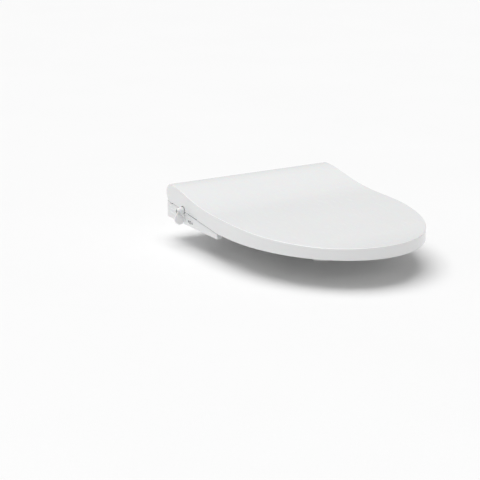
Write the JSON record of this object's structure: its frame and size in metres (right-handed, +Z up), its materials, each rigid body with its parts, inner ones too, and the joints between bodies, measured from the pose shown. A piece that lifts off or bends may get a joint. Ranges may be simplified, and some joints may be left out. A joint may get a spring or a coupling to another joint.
{
  "type": "electric bidet seat",
  "caption": "Slim bidet toilet seat with a sloping cover-all lid, a heated seat ring, a slim rear unit with a side hand lever and extending wash nozzles, on a slide-in deck bracket.",
  "frame": {"origin": "midway between the two fixing bolts, on the deck plane that the seat stands on", "axes": "+Z up, -Y towards the front of the seat, +X to the right as seen from the front"},
  "size_m": [0.3939, 0.5085, 0.112],
  "materials": {
    "white_shell": "gloss white moulded plastic",
    "white_lid": "gloss white moulded plastic",
    "white_seat": "gloss white moulded plastic",
    "lever_white": "satin white moulded plastic",
    "grey_print": "matte dark grey marks",
    "rubber_grey": "soft pale grey rubber",
    "rubber_black": "matte black rubber",
    "bracket_plastic": "matte white glass-filled plastic",
    "steel": "stainless steel",
    "brass_fitting": "machined brass",
    "strainer_mesh": "stainless strainer",
    "acetal": "natural acetal",
    "coil_black": "black moulded plastic",
    "heater_body": "cream heat-resistant plastic",
    "board_green": "green circuit board",
    "board_case": "grey potting tray",
    "ceramic_disc": "lapped alumina",
    "nozzle_white": "gloss white plastic",
    "hose_clear": "translucent silicone",
    "heater_foil": "aluminium foil element"
  },
  "bodies": {
    "deck_bracket": {"mounting_plate": "bracket_plastic", "adjuster_blocks": "bracket_plastic", "fixing_bolts": "steel", "expansion_anchors": "rubber_black", "deck_pad": "rubber_grey"},
    "rear_unit": {"base_tray": "white_shell", "unit_cover": "white_shell", "side_panel_left": "white_shell", "side_panel_right": "white_shell", "lever_marks": "grey_print", "unit_feet": "rubber_grey", "case_screws": "steel", "inlet_fitting": "brass_fitting", "inlet_strainer": "strainer_mesh", "solenoid_valve": "coil_black", "flow_sensor_housing": "acetal", "heater_module": "heater_body", "board_cover": "board_case", "control_board": "board_green", "power_gland": "coil_black", "valve_body": "acetal", "valve_bonnet": "acetal", "fixed_ceramic_disc": "ceramic_disc", "nozzle_housing": "acetal", "nozzle_guard": "white_shell", "rear_nozzle_spring": "steel", "front_nozzle_spring": "steel", "hose_inlet": "hose_clear", "hose_heater_valve": "hose_clear", "hose_front_nozzle": "hose_clear", "hose_rear_nozzle": "hose_clear", "seat_damper": "coil_black", "lid_damper": "coil_black"},
    "release_latch": {"release_button": "lever_white"},
    "seat": {"seat_top_shell": "white_seat", "seat_bottom_plate": "white_seat", "seat_screws": "steel", "seat_heater_foil": "heater_foil", "seat_sensor": "coil_black", "seat_bumpers": "rubber_grey", "seat_shaft": "acetal"},
    "lid": {"lid_shell": "white_lid", "lid_bumpers": "rubber_grey", "lid_pin_left": "acetal", "lid_pin_right": "acetal"},
    "lever": {"lever_handle": "lever_white", "lever_spindle": "acetal", "lever_screw": "steel", "moving_ceramic_disc": "ceramic_disc"},
    "rear_nozzle": {"rear_nozzle_tube": "nozzle_white", "rear_nozzle_tip": "nozzle_white", "rear_nozzle_seal": "rubber_grey"},
    "front_nozzle": {"front_nozzle_tube": "nozzle_white", "front_nozzle_tip": "nozzle_white", "front_nozzle_seal": "rubber_grey"},
    "plunger": {"solenoid_plunger": "steel"},
    "turbine": {"flow_turbine": "acetal"}
  },
  "joints": [
    {"name": "unit_slide", "type": "slide", "parent": "deck_bracket", "child": "rear_unit", "axis": [0, -1, 0], "range_m": [0, 0.05]},
    {"name": "latch_press", "type": "slide", "parent": "rear_unit", "child": "release_latch", "axis": [-1, 0, 0], "range_m": [0, 0.004]},
    {"name": "seat_raise", "type": "hinge", "parent": "rear_unit", "child": "seat", "pos_m": [0, 0.037, 0.05], "axis": [-1, 0, 0], "range_deg": [0, 105]},
    {"name": "lid_open", "type": "hinge", "parent": "seat", "child": "lid", "pos_m": [0, 0.037, 0.05], "axis": [1, 0, 0], "range_deg": [-105, 0]},
    {"name": "lever_turn", "type": "hinge", "parent": "rear_unit", "child": "lever", "pos_m": [-0.19, -0.013, 0.0275], "axis": [1, 0, 0], "range_deg": [-50, 50]},
    {"name": "rear_nozzle_extend", "type": "slide", "parent": "rear_unit", "child": "rear_nozzle", "axis": [0, -0.9397, -0.342], "range_m": [0, 0.052], "stiffness_N_per_m": 60, "deforming": ["rear_nozzle_spring"]},
    {"name": "front_nozzle_extend", "type": "slide", "parent": "rear_unit", "child": "front_nozzle", "axis": [0, -0.9397, -0.342], "range_m": [0, 0.052], "stiffness_N_per_m": 60, "deforming": ["front_nozzle_spring"]},
    {"name": "plunger_lift", "type": "slide", "parent": "rear_unit", "child": "plunger", "axis": [0, 0, 1], "range_m": [0, 0.002], "stiffness_N_per_m": 100},
    {"name": "turbine_spin", "type": "hinge", "parent": "rear_unit", "child": "turbine", "pos_m": [0.1604, -0.018, 0.017], "axis": [0, 1, 0], "continuous": true}
  ],
  "couplings": [
    {"joint": "latch_press", "follows": "unit_slide", "ratio": 0.08}
  ]
}
